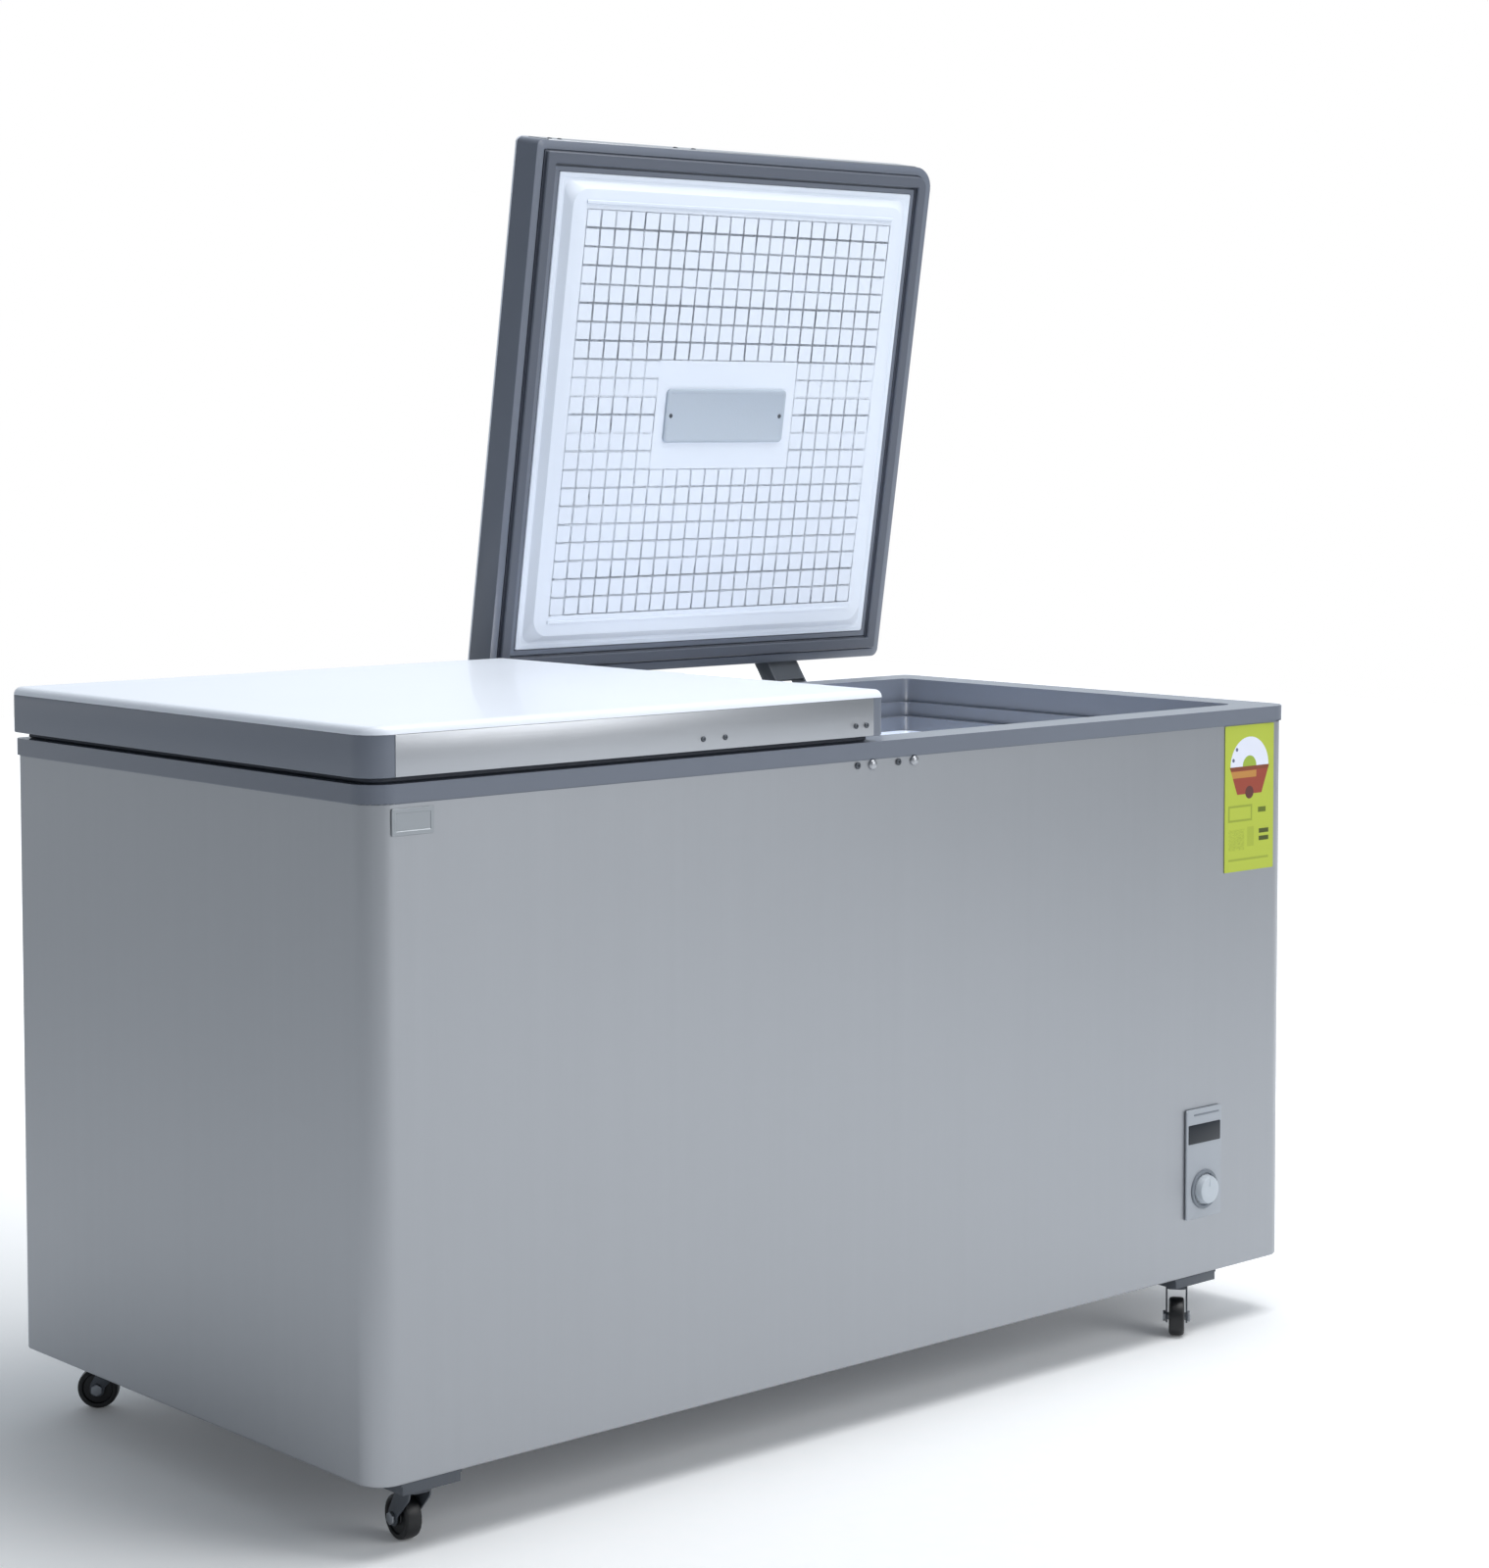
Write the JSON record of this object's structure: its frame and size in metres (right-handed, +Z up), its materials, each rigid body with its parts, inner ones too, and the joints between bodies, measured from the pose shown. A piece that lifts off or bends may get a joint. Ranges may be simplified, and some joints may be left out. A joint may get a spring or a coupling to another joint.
{
  "type": "chest freezer",
  "caption": "Wide double-lid chest freezer on swivel casters with brushed steel sides, one lid shut and one standing open over a stepped tank.",
  "frame": {"origin": "on the floor, under the middle of the whole object with its right lid open", "axes": "+Z up, -Y towards the front with the controls, +X to the right seen from the front"},
  "size_m": [1.51, 0.8676, 1.589],
  "materials": {
    "brushed_steel": "satin",
    "zinc_steel": "satin",
    "bracket_steel": "satin",
    "grey_plastic": "satin",
    "white_steel": "gloss",
    "white_plastic": "satin",
    "foam": "matte",
    "tank_sheet": "satin",
    "copper": "satin",
    "black_paint": "satin",
    "black_rubber": "matte",
    "dark_plastic": "gloss",
    "label_paper": "satin",
    "frosted_plastic": "satin"
  },
  "bodies": {
    "cabinet": {"outer_shell": "brushed_steel", "back_panel": "zinc_steel", "base_pan": "zinc_steel", "insulation_front": "foam", "insulation_back": "foam", "insulation_left": "foam", "insulation_right": "foam", "insulation_floor": "foam", "inner_tank": "tank_sheet", "drain_plug": "black_rubber", "evaporator_coil": "copper", "condenser_coil": "copper", "rim_frame": "grey_plastic", "centre_bar": "grey_plastic", "compressor_tray": "zinc_steel", "compressor": "black_paint", "vent_grille": "grey_plastic", "control_panel": "grey_plastic", "display_window": "dark_plastic", "thermostat": "dark_plastic", "badge_plate": "zinc_steel", "energy_label": "label_paper", "caster_mount_front_left": "bracket_steel", "caster_mount_front_right": "bracket_steel", "caster_mount_back_left": "bracket_steel", "caster_mount_back_right": "bracket_steel", "hinge_base_left_1": "bracket_steel", "hinge_base_left_2": "bracket_steel", "hinge_base_right_1": "bracket_steel", "hinge_base_right_2": "bracket_steel"},
    "lid_left": {"lid_frame_left": "grey_plastic", "lid_strip_left": "brushed_steel", "lid_gasket_left": "grey_plastic", "lid_core_left": "foam", "lid_liner_left": "white_plastic", "lid_skin_left": "white_steel", "hinge_arm_left_1": "bracket_steel", "hinge_arm_left_2": "bracket_steel"},
    "lid_right": {"lid_frame_right": "grey_plastic", "lid_strip_right": "brushed_steel", "lid_gasket_right": "grey_plastic", "lid_core_right": "foam", "lid_liner_right": "white_plastic", "lid_skin_right": "white_steel", "lamp_cover": "frosted_plastic", "hinge_arm_right_1": "bracket_steel", "hinge_arm_right_2": "bracket_steel"},
    "knob": {"thermostat_knob": "white_plastic"},
    "caster_front_left": {"caster_fork_front_left": "zinc_steel", "caster_axle_front_left": "zinc_steel"},
    "wheel_front_left": {"caster_wheel_front_left": "black_rubber"},
    "caster_front_right": {"caster_fork_front_right": "zinc_steel", "caster_axle_front_right": "zinc_steel"},
    "wheel_front_right": {"caster_wheel_front_right": "black_rubber"},
    "caster_back_left": {"caster_fork_back_left": "zinc_steel", "caster_axle_back_left": "zinc_steel"},
    "wheel_back_left": {"caster_wheel_back_left": "black_rubber"},
    "caster_back_right": {"caster_fork_back_right": "zinc_steel", "caster_axle_back_right": "zinc_steel"},
    "wheel_back_right": {"caster_wheel_back_right": "black_rubber"}
  },
  "joints": [
    {"name": "lid_left_hinge", "type": "hinge", "parent": "cabinet", "child": "lid_left", "pos_m": [-0.383, 0.36013, 0.803], "axis": [-1, 0, 0], "range_deg": [0, 85]},
    {"name": "lid_right_hinge", "type": "hinge", "parent": "cabinet", "child": "lid_right", "pos_m": [0.383, 0.36013, 0.803], "axis": [-1, 0, 0], "range_deg": [-80.8, 4.2]},
    {"name": "thermostat_turn", "type": "hinge", "parent": "cabinet", "child": "knob", "pos_m": [0.577, -0.42187, 0.194], "axis": [0, -1, 0], "range_deg": [-150, 150]},
    {"name": "swivel_front_left", "type": "hinge", "parent": "cabinet", "child": "caster_front_left", "pos_m": [-0.677, -0.38687, 0.066], "axis": [0, 0, 1], "continuous": true},
    {"name": "roll_front_left", "type": "hinge", "parent": "caster_front_left", "child": "wheel_front_left", "pos_m": [-0.67546, -0.36492, 0.025], "axis": [-0.9976, 0.0698, 0], "continuous": true},
    {"name": "swivel_front_right", "type": "hinge", "parent": "cabinet", "child": "caster_front_right", "pos_m": [0.565, -0.38687, 0.066], "axis": [0, 0, 1], "continuous": true},
    {"name": "roll_front_right", "type": "hinge", "parent": "caster_front_right", "child": "wheel_front_right", "pos_m": [0.5484, -0.4013, 0.025], "axis": [0.6561, -0.7547, 0], "continuous": true},
    {"name": "swivel_back_left", "type": "hinge", "parent": "cabinet", "child": "caster_back_left", "pos_m": [-0.657, 0.25713, 0.066], "axis": [0, 0, 1], "continuous": true},
    {"name": "roll_back_left", "type": "hinge", "parent": "caster_back_left", "child": "wheel_back_left", "pos_m": [-0.6736, 0.27156, 0.025], "axis": [-0.6561, -0.7547, 0], "continuous": true},
    {"name": "swivel_back_right", "type": "hinge", "parent": "cabinet", "child": "caster_back_right", "pos_m": [0.565, 0.25713, 0.066], "axis": [0, 0, 1], "continuous": true},
    {"name": "roll_back_right", "type": "hinge", "parent": "caster_back_right", "child": "wheel_back_right", "pos_m": [0.58185, 0.27127, 0.025], "axis": [-0.6428, 0.766, 0], "continuous": true}
  ]
}
